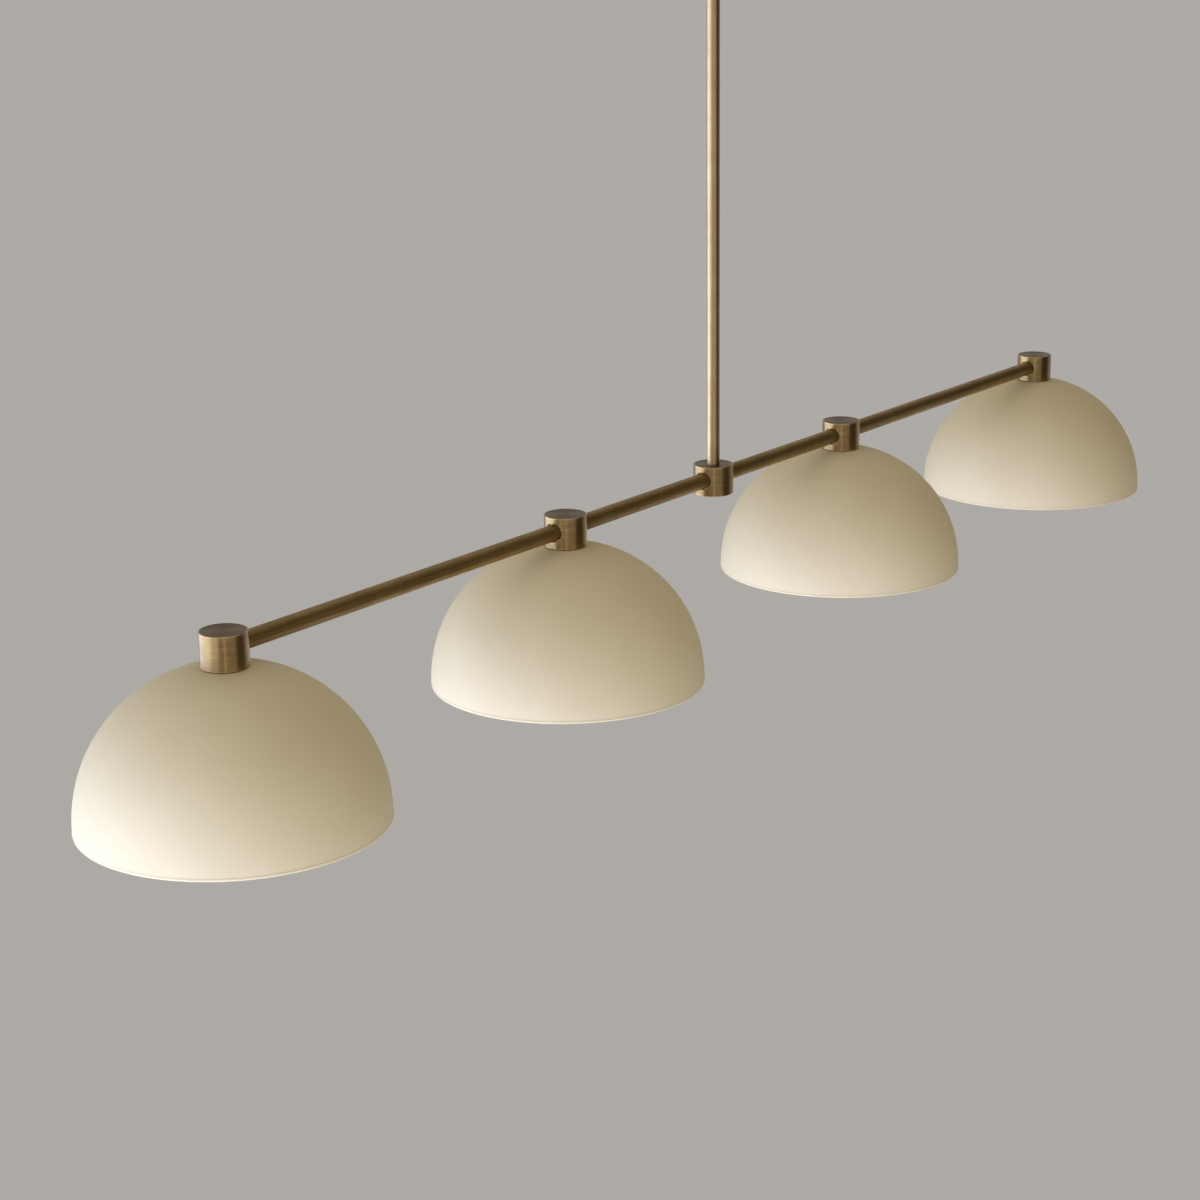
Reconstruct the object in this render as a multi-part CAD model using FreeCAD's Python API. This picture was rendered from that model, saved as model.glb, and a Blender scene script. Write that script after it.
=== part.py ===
import FreeCAD
import Part
import math
import os

# Linear island pendant: a drop rod hangs a horizontal round bar from the ceiling,
# and four dome shades hang under the bar from turned brass knuckles.
# All sizes are in millimetres. The origin is the middle of the ceiling plate's
# upper face, +Z points up and the bar lies along X.

# ---------------------------------------------------------------- driving sizes

# Overall layout
ceiling_drop = 750.0          # ceiling down to the bar's axis
lamp_inner_x = 188.0          # hub's middle to each inner lamp
lamp_outer_x = 532.0          # hub's middle to each outer lamp

# Bar and drop rod
bar_d = 12.0
bar_wall = 1.5
bar_half_gap = 6.5            # free space each side of the hub's middle
bar_past_lamp = 7.0           # how far the bar runs past an outer lamp's middle
rod_d = 10.0
rod_wall = 1.5
rod_in_hub = 8.0

# Turned bodies: the four knuckles and the hub are one pattern of part
knuckle_d = 31.0
knuckle_above = 11.0          # bar's axis up to the flat top
knuckle_below = 12.0          # bar's axis down to the flat bottom
edge_break = 0.4
mouth_d = 14.0                # wider mouth where the bar enters
mouth_depth = 3.0

# Shade: spun dome with a flat crown seat and a rolled lip
shade_d = 200.0
shade_wall = 1.2
crown_seat_r = 15.0
lip_height = 2.4
lip_bulge = 0.5
crown_washer_t = 0.5
crown_washer_d = 29.0

# Threaded tube that clamps knuckle, shade and lamp cup together
nipple_d = 10.0
nipple_wall = 1.5
nipple_under_bar = 1.0        # space left between the bar and the nipple's top
nipple_in_cup = 5.0
shade_washer_d = 26.0
shade_washer_t = 1.0
small_nut_af = 14.0
small_nut_t = 4.0

# Lamp cup, ceramic holder and plug-in bulb
cup_d = 27.0
cup_wall = 1.0
cup_top_t = 2.5
cup_height = 28.0
holder_body_h = 20.0
holder_flange_t = 1.5
pocket_depth = 8.0
bulb_base_x = 14.0
bulb_base_y = 8.0
bulb_base_h = 10.0
bulb_base_corner_r = 1.2
bulb_glass_d = 16.0
bulb_glass_l = 42.0
bulb_shoulder_r = 2.0
pin_spacing = 9.0
pin_d = 1.2
pin_l = 9.0

# Ceiling plate, hanger bracket and swivel
plate_t = 2.0
plate_in_canopy = 4.8         # canopy's inner wall to the plate's rim
plate_ring_edge = 12.2        # plate's rim to the circle of the cable hole and the earth screw
slot_spacing = 70.0
slot_width = 5.2
slot_length = 16.0
cable_hole_d = 14.0
bracket_width = 20.0
bracket_t = 2.5
bracket_span = 48.0           # outside of the two legs
bracket_foot = 12.0
spindle_d = 13.0
spindle_head_d = 20.0
spindle_head_t = 4.0
spindle_bore_d = 7.0
spindle_l = 17.0              # under its head
rod_in_spindle = 8.0
swivel_washer_t = 0.8
swivel_nut_af = 20.0
swivel_nut_t = 4.0
stop_pin_d = 2.5
stop_pin_r = 13.0             # from the swivel's axis
stop_tab_w = 3.0

# Terminal block
block_x = 14.0
block_y = 26.0
block_h = 12.0
block_beside_bracket = 9.0
block_corner_edge = 0.9       # plate's rim to the block's outer corner
block_poles = 3
wire_hole_d = 3.4
block_screw_d = 3.0
block_screw_spacing = 9.0     # between the two screws of a pole
block_screw_sink = 1.5        # clamping screws below the block's face
block_seat_depth = 3.5        # pocket for the fixing screw's head
block_wire_up = 7.5           # block's face up to the wire holes
block_fillet = 0.6

# Canopy and its collar
canopy_d = 110.0
canopy_h = 38.0
canopy_wall = 1.2
canopy_corner_r = 3.0
jam_nut_to_canopy = 2.6       # jam nut's underside down to the canopy's floor
collar_d = 20.0
collar_h = 10.0

# Screws
screw_d = 4.0
screw_head_d = 7.0
screw_head_t = 2.4
screw_head_round = 0.96
grub_d = 4.0
grub_hex_af = 2.0
grub_sink = 1.0               # grub screw's outer end below the surface
plug_d = 10.0
plug_t = 4.0
plug_proud = 0.6
drive_slot_w = 1.0
drive_slot_depth = 0.9

# Clearances
running_gap = 0.05            # radial, turning or sliding fit
thread_gap = 0.05             # radial, screwed fit
loose_gap = 0.3               # radial, a piece dropped into its place
screw_gap = 0.25              # radial, screw in a clearance hole

# ---------------------------------------------------------------- worked out sizes

bar_r = bar_d / 2
rod_r = rod_d / 2
nipple_r = nipple_d / 2
knuckle_r = knuckle_d / 2
grub_r = grub_d / 2
axis_z = -ceiling_drop
knuckle_top_z = axis_z + knuckle_above
knuckle_bottom_z = axis_z - knuckle_below
bar_end_x = lamp_outer_x + bar_past_lamp

shade_r = shade_d / 2
shade_inner_r = shade_r - shade_wall
crown_z = knuckle_bottom_z - crown_washer_t
shade_centre_z = crown_z - math.sqrt(shade_r ** 2 - crown_seat_r ** 2)
crown_under_z = crown_z - shade_wall
lip_z = shade_centre_z - lip_height

shade_nut_z = crown_under_z - shade_washer_t
cup_top_z = shade_nut_z - small_nut_t
cup_rim_z = cup_top_z - cup_height
holder_face_z = cup_rim_z - holder_flange_t
pocket_top_z = holder_face_z + pocket_depth
bulb_base_top_z = pocket_top_z - loose_gap
bulb_glass_top_z = bulb_base_top_z - bulb_base_h

swivel_stack = spindle_l - swivel_washer_t + small_nut_t
bracket_drop = canopy_h - canopy_wall - jam_nut_to_canopy - swivel_stack - plate_t
web_top_z = -plate_t - bracket_drop
web_under_z = web_top_z - bracket_t
spindle_seat_z = web_top_z + swivel_washer_t
spindle_end_z = spindle_seat_z - spindle_l
rod_top_z = spindle_end_z + rod_in_spindle
rod_bottom_z = knuckle_top_z - rod_in_hub
swivel_nut_z = web_under_z - swivel_washer_t

plate_d = canopy_d - 2 * (canopy_wall + plate_in_canopy)
plate_r = plate_d / 2
ring_at = (plate_r - plate_ring_edge) / math.sqrt(2)
block_at_x = bracket_width / 2 + block_beside_bracket + block_x / 2
block_outer_x = block_at_x + block_x / 2
block_at_y = block_y / 2 - math.sqrt((plate_r - block_corner_edge) ** 2 - block_outer_x ** 2)
block_pitch = block_y / block_poles
block_low_z = -plate_t - block_h
block_wire_z = block_low_z + block_wire_up
block_seat_z = block_low_z + block_seat_depth

# Each lamp: its number, its place along the bar and the way back to the hub.
lamps = [
    (1, -lamp_outer_x, 1),
    (2, -lamp_inner_x, 1),
    (3, lamp_inner_x, -1),
    (4, lamp_outer_x, -1),
]

X = FreeCAD.Vector(1, 0, 0)
Y = FreeCAD.Vector(0, 1, 0)
Z = FreeCAD.Vector(0, 0, 1)


# ---------------------------------------------------------------- plain shapes

def upright(radius, low_z, high_z, x=0.0, y=0.0):
    """Solid cylinder that stands on low_z."""
    return Part.makeCylinder(radius, high_z - low_z, FreeCAD.Vector(x, y, low_z), Z)


def ring(outer_r, inner_r, low_z, high_z, x=0.0, y=0.0):
    """Upright tube or washer."""
    return upright(outer_r, low_z, high_z, x, y).cut(upright(inner_r, low_z, high_z, x, y))


def lying(radius, low_x, high_x):
    """Solid cylinder along the bar's axis."""
    return Part.makeCylinder(radius, high_x - low_x, FreeCAD.Vector(low_x, 0, axis_z), X)


def block(low, high):
    """Box between two opposite corners."""
    return Part.makeBox(high[0] - low[0], high[1] - low[1], high[2] - low[2], FreeCAD.Vector(*low))


def hexagon(across_flats, low_z, high_z, x=0.0, y=0.0):
    """Upright hexagonal prism with two flats square to Y."""
    corner_r = across_flats / math.sqrt(3)
    corners = []
    for step in range(7):
        turn = math.radians(60 * step)
        corners.append(FreeCAD.Vector(x + corner_r * math.cos(turn), y + corner_r * math.sin(turn), low_z))
    return Part.Face(Part.makePolygon(corners)).extrude(Z * (high_z - low_z))


def nut(across_flats, bore_r, low_z, high_z, x=0.0):
    """Hexagon nut whose corners are broken on both faces."""
    corner_r = across_flats / math.sqrt(3)
    flank = corner_r - across_flats / 2
    blank = turned([
        (0, low_z), (corner_r - flank, low_z), (corner_r, low_z + flank / 2),
        (corner_r, high_z - flank / 2), (corner_r - flank, high_z), (0, high_z),
    ], x)
    return hexagon(across_flats, low_z, high_z, x).common(blank).cut(upright(bore_r, low_z, high_z, x))


def turned(points, x=0.0):
    """Solid turned about an upright axis at x, from (radius, z) points."""
    corners = [FreeCAD.Vector(r, 0, z) for r, z in points]
    corners.append(corners[0])
    solid = Part.Face(Part.makePolygon(corners)).revolve(FreeCAD.Vector(0, 0, 0), Z, 360)
    solid.translate(X * x)
    return solid


def turned_body(x):
    """Short brass cylinder with broken edges: the blank of a knuckle or the hub."""
    return turned([
        (0, knuckle_bottom_z), (knuckle_r - edge_break, knuckle_bottom_z),
        (knuckle_r, knuckle_bottom_z + edge_break), (knuckle_r, knuckle_top_z - edge_break),
        (knuckle_r - edge_break, knuckle_top_z), (0, knuckle_top_z),
    ], x)


def pan_screw(x, y, under_z, length):
    """Slotted pan-head screw with its head below under_z and its shank above."""
    head_low_z = under_z - screw_head_t
    head = upright(screw_head_d / 2, head_low_z, under_z, x, y)
    rim = [edge for edge in head.Edges if abs(edge.BoundBox.ZMax - head_low_z) < 1e-6 and edge.BoundBox.XLength > 1]
    head = head.makeFillet(screw_head_round, rim)
    screw = head.fuse(upright(screw_d / 2, under_z, under_z + length, x, y)).removeSplitter()
    half = screw_head_d / 2
    slot = block((x - half, y - drive_slot_w / 2, head_low_z), (x + half, y + drive_slot_w / 2, head_low_z + drive_slot_depth))
    return screw.cut(slot)


def grub(tip, way, length):
    """Socket grub screw from its tip point along way."""
    screw = Part.makeCylinder(grub_r, length, tip, way)
    corner_r = grub_hex_af / math.sqrt(3)
    side = Z if abs(way.z) < 0.5 else X
    other = way.cross(side)
    end = tip + way * length
    corners = []
    for step in range(7):
        turn = math.radians(60 * step)
        corners.append(end + side * (corner_r * math.cos(turn)) + other * (corner_r * math.sin(turn)))
    socket = Part.Face(Part.makePolygon(corners)).extrude(way * (-grub_hex_af))
    return screw.cut(socket)


# ---------------------------------------------------------------- ceiling fittings

def ceiling_plate():
    plate = upright(plate_r, -plate_t, 0)
    straight = slot_length / 2 - slot_width / 2
    for side in (-1, 1):
        middle = side * slot_spacing / 2
        slot = block((middle - straight, -slot_width / 2, -plate_t), (middle + straight, slot_width / 2, 0))
        for end in (-straight, straight):
            slot = slot.fuse(upright(slot_width / 2, -plate_t, 0, middle + end))
        plate = plate.cut(slot.removeSplitter())
    plate = plate.cut(upright(cable_hole_d / 2, -plate_t, 0, -ring_at, ring_at))
    for x, y in plate_screw_places():
        plate = plate.cut(upright(screw_d / 2 + thread_gap, -plate_t, 0, x, y))
    return plate


def foot_screw_y():
    return bracket_span / 2 + bracket_foot / 2


def plate_screw_places():
    return [
        (0, -foot_screw_y()), (0, foot_screw_y()),
        (-ring_at, -ring_at), (block_at_x, block_at_y + block_pitch / 2),
    ]


def swivel_bracket():
    """Folded steel strap whose web carries the swivel, with a stop pin riveted in."""
    half_w = bracket_width / 2
    half_s = bracket_span / 2
    strap = block((-half_w, -half_s, web_under_z), (half_w, half_s, web_top_z))
    for side in (-1, 1):
        inner = side * (half_s - bracket_t)
        outer = side * half_s
        toe = side * (half_s + bracket_foot)
        strap = strap.fuse(block((-half_w, min(inner, outer), web_under_z), (half_w, max(inner, outer), -plate_t)))
        foot_low = -plate_t - bracket_t
        strap = strap.fuse(block((-half_w, min(inner, toe), foot_low), (half_w, max(inner, toe), -plate_t)))
        strap = strap.cut(upright(screw_d / 2 + screw_gap, foot_low, -plate_t, 0, side * foot_screw_y()))
    strap = strap.cut(upright(spindle_d / 2 + running_gap, web_under_z, web_top_z))
    pin_top_z = spindle_seat_z + spindle_head_t
    pin = upright(stop_pin_d / 2, web_under_z, pin_top_z, 0, stop_pin_r)
    return strap.fuse(pin).removeSplitter()


def plate_screws():
    """Two bracket screws, the earth screw and the terminal block's screw."""
    foot_under_z = -plate_t - bracket_t
    places = plate_screw_places()
    screws = [pan_screw(x, y, foot_under_z, plate_t + bracket_t) for x, y in places[:2]]
    screws.append(pan_screw(*places[2], -plate_t, plate_t))
    screws.append(pan_screw(*places[3], block_seat_z, -block_seat_z))
    return Part.makeCompound(screws)


def block_pole_places():
    """Two clamping screws to each pole of the terminal block."""
    places = []
    for pole in range(block_poles):
        y = block_at_y + block_pitch * (pole - (block_poles - 1) / 2)
        places.append((block_at_x - block_screw_spacing / 2, y))
        places.append((block_at_x + block_screw_spacing / 2, y))
    return places


def terminal_block():
    body = block(
        (block_at_x - block_x / 2, block_at_y - block_y / 2, block_low_z),
        (block_at_x + block_x / 2, block_at_y + block_y / 2, -plate_t))
    body = body.makeFillet(block_fillet, [edge for edge in body.Edges if edge.BoundBox.ZMax < block_low_z + 1e-6])
    for x, y in block_pole_places():
        body = body.cut(upright(block_screw_d / 2 + thread_gap, block_low_z, block_wire_z, x, y))
        start = FreeCAD.Vector(block_at_x - block_x / 2, y, block_wire_z)
        body = body.cut(Part.makeCylinder(wire_hole_d / 2, block_x, start, X))
    x, y = plate_screw_places()[3]
    body = body.cut(upright(screw_d / 2 + screw_gap, block_low_z, -plate_t, x, y))
    return body.cut(upright(screw_head_d / 2 + screw_gap, block_low_z, block_seat_z, x, y))


def terminal_screws():
    screws = []
    for x, y in block_pole_places():
        low_z = block_low_z + block_screw_sink
        screw = upright(block_screw_d / 2, low_z, block_wire_z - wire_hole_d / 2, x, y)
        half = block_screw_d / 2
        slot_high_z = low_z + drive_slot_depth
        slot = block((x - half, y - drive_slot_w / 2, low_z), (x + half, y + drive_slot_w / 2, slot_high_z))
        screws.append(screw.cut(slot))
    return Part.makeCompound(screws)


# ---------------------------------------------------------------- swivel and drop rod

def swivel_spindle():
    """Hollow threaded spindle; the tab on its head meets the stop pin at either end of the turn."""
    head_top_z = spindle_seat_z + spindle_head_t
    spindle = turned([
        (0, spindle_end_z), (spindle_d / 2 - edge_break, spindle_end_z), (spindle_d / 2, spindle_end_z + edge_break),
        (spindle_d / 2, spindle_seat_z), (spindle_head_d / 2, spindle_seat_z),
        (spindle_head_d / 2, head_top_z - edge_break), (spindle_head_d / 2 - edge_break, head_top_z),
        (0, head_top_z),
    ])
    tab_tip_y = -(stop_pin_r + stop_pin_d / 2)
    tab = block((-stop_tab_w / 2, tab_tip_y, spindle_seat_z), (stop_tab_w / 2, 0, head_top_z))
    spindle = spindle.fuse(tab).removeSplitter()
    spindle = spindle.cut(upright(spindle_bore_d / 2, spindle_end_z, head_top_z))
    return spindle.cut(upright(rod_r + thread_gap, spindle_end_z, rod_top_z))


def swivel_upper_washer():
    outer_r = min(spindle_head_d / 2, stop_pin_r - stop_pin_d / 2 - loose_gap)
    return ring(outer_r, spindle_d / 2 + loose_gap, web_top_z, spindle_seat_z)


def swivel_lower_washer():
    return ring(swivel_nut_af / 2, spindle_d / 2 + loose_gap, swivel_nut_z, web_under_z)


def swivel_nut():
    return nut(swivel_nut_af, spindle_d / 2 + thread_gap, swivel_nut_z - swivel_nut_t, swivel_nut_z)


def rod_jam_nut():
    return nut(small_nut_af, rod_r + thread_gap, spindle_end_z - small_nut_t, spindle_end_z)


def drop_rod():
    return ring(rod_r, rod_r - rod_wall, rod_bottom_z, rod_top_z)


# ---------------------------------------------------------------- bar and hub

def bar_mouth(x, way):
    """Wider mouth at the side of a turned body at x that faces way."""
    outer_x = x + way * (knuckle_r + 1)
    inner_x = x + way * (knuckle_r - mouth_depth)
    return lying(mouth_d / 2, min(outer_x, inner_x), max(outer_x, inner_x))


def hub():
    body = turned_body(0).cut(lying(bar_r + thread_gap, -knuckle_r, knuckle_r))
    for way in (-1, 1):
        body = body.cut(bar_mouth(0, way))
        body = body.cut(upright(grub_r + thread_gap, knuckle_bottom_z, axis_z, way * hub_grub_x()))
    body = body.cut(upright(rod_r + thread_gap, axis_z, knuckle_top_z))
    return body.cut(upright(plug_d / 2 + thread_gap, knuckle_bottom_z, axis_z))


def hub_grub_x():
    """Halfway between the bar's end and the mouth's floor."""
    return (bar_half_gap + knuckle_r - mouth_depth / 2) / 2


def hub_plug():
    """Slotted disc that closes the wiring chamber from below, a little proud."""
    low_z = knuckle_bottom_z - plug_proud
    plug_r = plug_d / 2
    plug = turned([
        (0, low_z), (plug_r - edge_break, low_z), (plug_r, low_z + edge_break),
        (plug_r, low_z + plug_t), (0, low_z + plug_t),
    ])
    half_w = drive_slot_w / 2
    return plug.cut(block((-half_w, -plug_r, low_z), (half_w, plug_r, low_z + drive_slot_depth)))


def hub_grub_screws():
    tip_z = axis_z - bar_r
    length = knuckle_below - bar_r - grub_sink
    screws = [grub(FreeCAD.Vector(way * hub_grub_x(), 0, tip_z), -Z, length) for way in (-1, 1)]
    return Part.makeCompound(screws)


def bar(way):
    """One arm of the bar, with a window for the wires over each of its two lamps."""
    low_x, high_x = sorted((way * bar_half_gap, way * bar_end_x))
    tube = lying(bar_r, low_x, high_x).cut(lying(bar_r - bar_wall, low_x, high_x))
    half = nipple_r - nipple_wall
    for place in (lamp_inner_x, lamp_outer_x):
        x = way * place
        tube = tube.cut(block((x - half, -bar_r, axis_z - bar_r), (x + half, bar_r, axis_z - bar_r / 2)))
    return tube


# ---------------------------------------------------------------- one lamp

def knuckle(x, way_in):
    """Turned body that turns on the bar; the bar runs through it or ends inside it."""
    if abs(x) < lamp_outer_x:
        low_x, high_x = x - knuckle_r, x + knuckle_r
        mouths = (-1, 1)
    else:
        blind_x = x - way_in * (bar_past_lamp + loose_gap)
        low_x, high_x = sorted((blind_x, x + way_in * knuckle_r))
        mouths = (way_in,)
    body = turned_body(x).cut(lying(bar_r + running_gap, low_x, high_x))
    for way in mouths:
        body = body.cut(bar_mouth(x, way))
    body = body.cut(upright(nipple_r + thread_gap, knuckle_bottom_z, axis_z, x))
    grub_hole = Part.makeCylinder(grub_r + thread_gap, knuckle_r, FreeCAD.Vector(x, 0, axis_z), Y)
    return body.cut(grub_hole)


def knuckle_grub_screw(x):
    """Screw in the knuckle's back whose tip holds the bar."""
    tip_y = bar_r + running_gap
    return grub(FreeCAD.Vector(x, tip_y, axis_z), Y, knuckle_r - grub_sink - tip_y)


def crown_washer(x):
    return ring(crown_washer_d / 2, nipple_r + loose_gap, crown_z, knuckle_bottom_z, x)


def shade(x):
    """Half-sphere shell with a flat crown seat and a rolled lip."""
    hole_r = nipple_r + loose_gap

    def at(r, z):
        return FreeCAD.Vector(r, 0, z)

    def sphere_point(radius, degrees):
        turn = math.radians(degrees)
        return at(radius * math.cos(turn), shade_centre_z + radius * math.sin(turn))

    under_r = math.sqrt(shade_inner_r ** 2 - (crown_under_z - shade_centre_z) ** 2)
    lip_middle_z = shade_centre_z - lip_height / 2
    curves = [
        Part.LineSegment(at(hole_r, crown_z), at(crown_seat_r, crown_z)),
        Part.Arc(at(crown_seat_r, crown_z), sphere_point(shade_r, 40), at(shade_r, shade_centre_z)),
        Part.Arc(at(shade_r, shade_centre_z), at(shade_r + lip_bulge, lip_middle_z), at(shade_r, lip_z)),
        Part.Arc(at(shade_r, lip_z), at(shade_r - shade_wall / 2, lip_z - shade_wall / 3), at(shade_inner_r, lip_z)),
        Part.LineSegment(at(shade_inner_r, lip_z), at(shade_inner_r, shade_centre_z)),
        Part.Arc(at(shade_inner_r, shade_centre_z), sphere_point(shade_inner_r, 40), at(under_r, crown_under_z)),
        Part.LineSegment(at(under_r, crown_under_z), at(hole_r, crown_under_z)),
        Part.LineSegment(at(hole_r, crown_under_z), at(hole_r, crown_z)),
    ]
    outline = Part.Wire([curve.toShape() for curve in curves])
    shell = Part.Face(outline).revolve(FreeCAD.Vector(0, 0, 0), Z, 360)
    shell.translate(X * x)
    return shell


def shade_washer(x):
    return ring(shade_washer_d / 2, nipple_r + loose_gap, shade_nut_z, crown_under_z, x)


def shade_nut(x):
    return nut(small_nut_af, nipple_r + thread_gap, cup_top_z, shade_nut_z, x)


def nipple(x):
    low_z = cup_top_z - nipple_in_cup
    high_z = axis_z - bar_r - nipple_under_bar
    return ring(nipple_r, nipple_r - nipple_wall, low_z, high_z, x)


def lamp_cup(x):
    """Turned cup, screwed onto the threaded tube, that hides the ceramic holder."""
    cup_r = cup_d / 2
    cup = turned([
        (0, cup_rim_z), (cup_r, cup_rim_z), (cup_r, cup_top_z - 2 * edge_break),
        (cup_r - 2 * edge_break, cup_top_z), (0, cup_top_z),
    ], x)
    cup = cup.cut(upright(cup_r - cup_wall, cup_rim_z, cup_top_z - cup_top_t, x))
    return cup.cut(upright(nipple_r + thread_gap, cup_rim_z, cup_top_z, x))


def pin_places(x):
    return [x - pin_spacing / 2, x + pin_spacing / 2]


def lamp_holder(x):
    """Ceramic body with a flange against the cup's rim and a pocket for the bulb's base."""
    body_r = cup_d / 2 - cup_wall - loose_gap
    holder = upright(body_r, cup_rim_z, cup_rim_z + holder_body_h, x)
    holder = holder.fuse(upright(cup_d / 2, holder_face_z, cup_rim_z, x)).removeSplitter()
    half_x = bulb_base_x / 2 + loose_gap
    half_y = bulb_base_y / 2 + loose_gap
    holder = holder.cut(block((x - half_x, -half_y, holder_face_z), (x + half_x, half_y, pocket_top_z)))
    for pin_x in pin_places(x):
        holder = holder.cut(upright(pin_d / 2 + loose_gap, pocket_top_z, pocket_top_z + pin_l, pin_x))
    return holder


def bulb(x):
    """Capsule bulb: two pins, a flat base and a glass capsule."""
    half_x = bulb_base_x / 2
    half_y = bulb_base_y / 2
    base = block((x - half_x, -half_y, bulb_glass_top_z), (x + half_x, half_y, bulb_base_top_z))
    base = base.makeFillet(bulb_base_corner_r, [edge for edge in base.Edges if edge.BoundBox.ZLength > 1])
    glass_r = bulb_glass_d / 2
    tip_z = bulb_glass_top_z - bulb_glass_l + glass_r
    glass = upright(glass_r, tip_z, bulb_glass_top_z, x)
    glass = glass.makeFillet(bulb_shoulder_r, [edge for edge in glass.Edges if edge.BoundBox.ZMin > bulb_glass_top_z - 1e-6])
    lamp = glass.fuse(Part.makeSphere(glass_r, FreeCAD.Vector(x, 0, tip_z))).fuse(base)
    for pin_x in pin_places(x):
        lamp = lamp.fuse(upright(pin_d / 2, bulb_base_top_z, bulb_base_top_z + pin_l, pin_x))
    return lamp.removeSplitter()


# ---------------------------------------------------------------- canopy

def canopy():
    """Spun cup, open to the ceiling, with a hole for the drop rod."""
    cup = upright(canopy_d / 2, -canopy_h, 0)
    cup = cup.makeFillet(canopy_corner_r, [edge for edge in cup.Edges if edge.BoundBox.ZMax < -canopy_h + 1e-6])
    inner_low_z = -canopy_h + canopy_wall
    hollow = upright(canopy_d / 2 - canopy_wall, inner_low_z, 0)
    floor_edge = [edge for edge in hollow.Edges if edge.BoundBox.ZMax < inner_low_z + 1e-6]
    hollow = hollow.makeFillet(canopy_corner_r - canopy_wall, floor_edge)
    return cup.cut(hollow).cut(upright(rod_r + loose_gap, -canopy_h, 0))


def canopy_collar():
    collar_r = collar_d / 2
    low_z = -canopy_h - collar_h
    collar = turned([
        (0, low_z), (collar_r - edge_break, low_z), (collar_r, low_z + edge_break),
        (collar_r, -canopy_h), (0, -canopy_h),
    ])
    collar = collar.cut(upright(rod_r + running_gap, low_z, -canopy_h))
    middle = FreeCAD.Vector(0, 0, -canopy_h - collar_h / 2)
    return collar.cut(Part.makeCylinder(grub_r + thread_gap, collar_r, middle, Y))


def collar_grub_screw():
    tip_y = rod_r + running_gap
    tip = FreeCAD.Vector(0, tip_y, -canopy_h - collar_h / 2)
    return grub(tip, Y, collar_d / 2 - grub_sink / 2 - tip_y)


# ---------------------------------------------------------------- writing the pieces

def all_pieces():
    pieces = {
        "ceiling_plate": ceiling_plate(),
        "swivel_bracket": swivel_bracket(),
        "plate_screws": plate_screws(),
        "terminal_block": terminal_block(),
        "terminal_screws": terminal_screws(),
        "swivel_spindle": swivel_spindle(),
        "swivel_upper_washer": swivel_upper_washer(),
        "swivel_lower_washer": swivel_lower_washer(),
        "swivel_nut": swivel_nut(),
        "rod_jam_nut": rod_jam_nut(),
        "drop_rod": drop_rod(),
        "hub": hub(),
        "hub_plug": hub_plug(),
        "hub_grub_screws": hub_grub_screws(),
        "bar_left": bar(-1),
        "bar_right": bar(1),
        "canopy": canopy(),
        "canopy_collar": canopy_collar(),
        "collar_grub_screw": collar_grub_screw(),
    }
    for number, x, way_in in lamps:
        pieces[f"knuckle_{number}"] = knuckle(x, way_in)
        pieces[f"knuckle_grub_screw_{number}"] = knuckle_grub_screw(x)
        pieces[f"crown_washer_{number}"] = crown_washer(x)
        pieces[f"shade_{number}"] = shade(x)
        pieces[f"shade_washer_{number}"] = shade_washer(x)
        pieces[f"shade_nut_{number}"] = shade_nut(x)
        pieces[f"nipple_{number}"] = nipple(x)
        pieces[f"lamp_cup_{number}"] = lamp_cup(x)
        pieces[f"lamp_holder_{number}"] = lamp_holder(x)
        pieces[f"bulb_{number}"] = bulb(x)
    return pieces


def main():
    os.makedirs("parts", exist_ok=True)
    pieces = all_pieces()
    for name, shape in pieces.items():
        shape.exportStep(f"parts/{name}.step")
    print(len(pieces), "pieces written")


main()
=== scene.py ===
# %% [markdown]
# # A linear island pendant
# A thin drop rod hangs a long round bar. Four dome shades hang from the bar on
# short turned brass knuckles. Nearly everything is round, so most of the look
# comes from two things: how smoothly the domes curve, and how the brushed brass
# spreads the light of the window.

# %% Load the frame
import bpy
import bmesh
import math
from mathutils import Matrix, Vector


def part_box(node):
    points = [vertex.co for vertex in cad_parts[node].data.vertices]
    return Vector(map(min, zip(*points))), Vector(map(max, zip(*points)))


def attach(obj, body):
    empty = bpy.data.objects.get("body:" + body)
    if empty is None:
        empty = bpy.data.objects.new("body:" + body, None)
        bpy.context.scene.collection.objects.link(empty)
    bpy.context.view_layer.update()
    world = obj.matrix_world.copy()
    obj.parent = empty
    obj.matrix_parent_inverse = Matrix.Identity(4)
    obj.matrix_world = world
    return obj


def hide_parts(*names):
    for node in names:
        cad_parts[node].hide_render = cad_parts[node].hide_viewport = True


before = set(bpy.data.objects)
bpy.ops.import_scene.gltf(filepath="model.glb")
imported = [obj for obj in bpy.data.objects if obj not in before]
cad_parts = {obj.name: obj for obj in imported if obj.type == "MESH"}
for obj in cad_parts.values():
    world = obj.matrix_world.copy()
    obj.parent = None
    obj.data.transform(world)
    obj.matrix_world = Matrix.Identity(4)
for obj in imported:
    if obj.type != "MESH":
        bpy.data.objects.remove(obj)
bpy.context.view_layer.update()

# %% [markdown]
# ## Where things are
# The frame's origin is the middle of the ceiling plate's upper face, +Z points up
# and the bar lies along X. The lamps' places could be typed in. Reading them from
# the knuckles instead keeps the looks tied to the solids.

# %% Lamps and their places
lamps = {}
for number in (1, 2, 3, 4):
    low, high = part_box(f"knuckle_{number}")
    lamps[number] = (low.x + high.x) / 2
low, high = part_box("bar_left")
axis_z = (low.z + high.z) / 2
print("lamps at x =", {number: round(x, 4) for number, x in lamps.items()})
print("bar at z =", round(axis_z, 4))

# %% [markdown]
# ## The camera
# The photograph looks along the bar from its left end, from a little above. The
# camera's place, its three angles and its lens weren't judged by eye: a separate
# script fitted them to the four shades' outlines in the photo. A long lens from
# about two metres keeps the far lamp only a little smaller.

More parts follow.
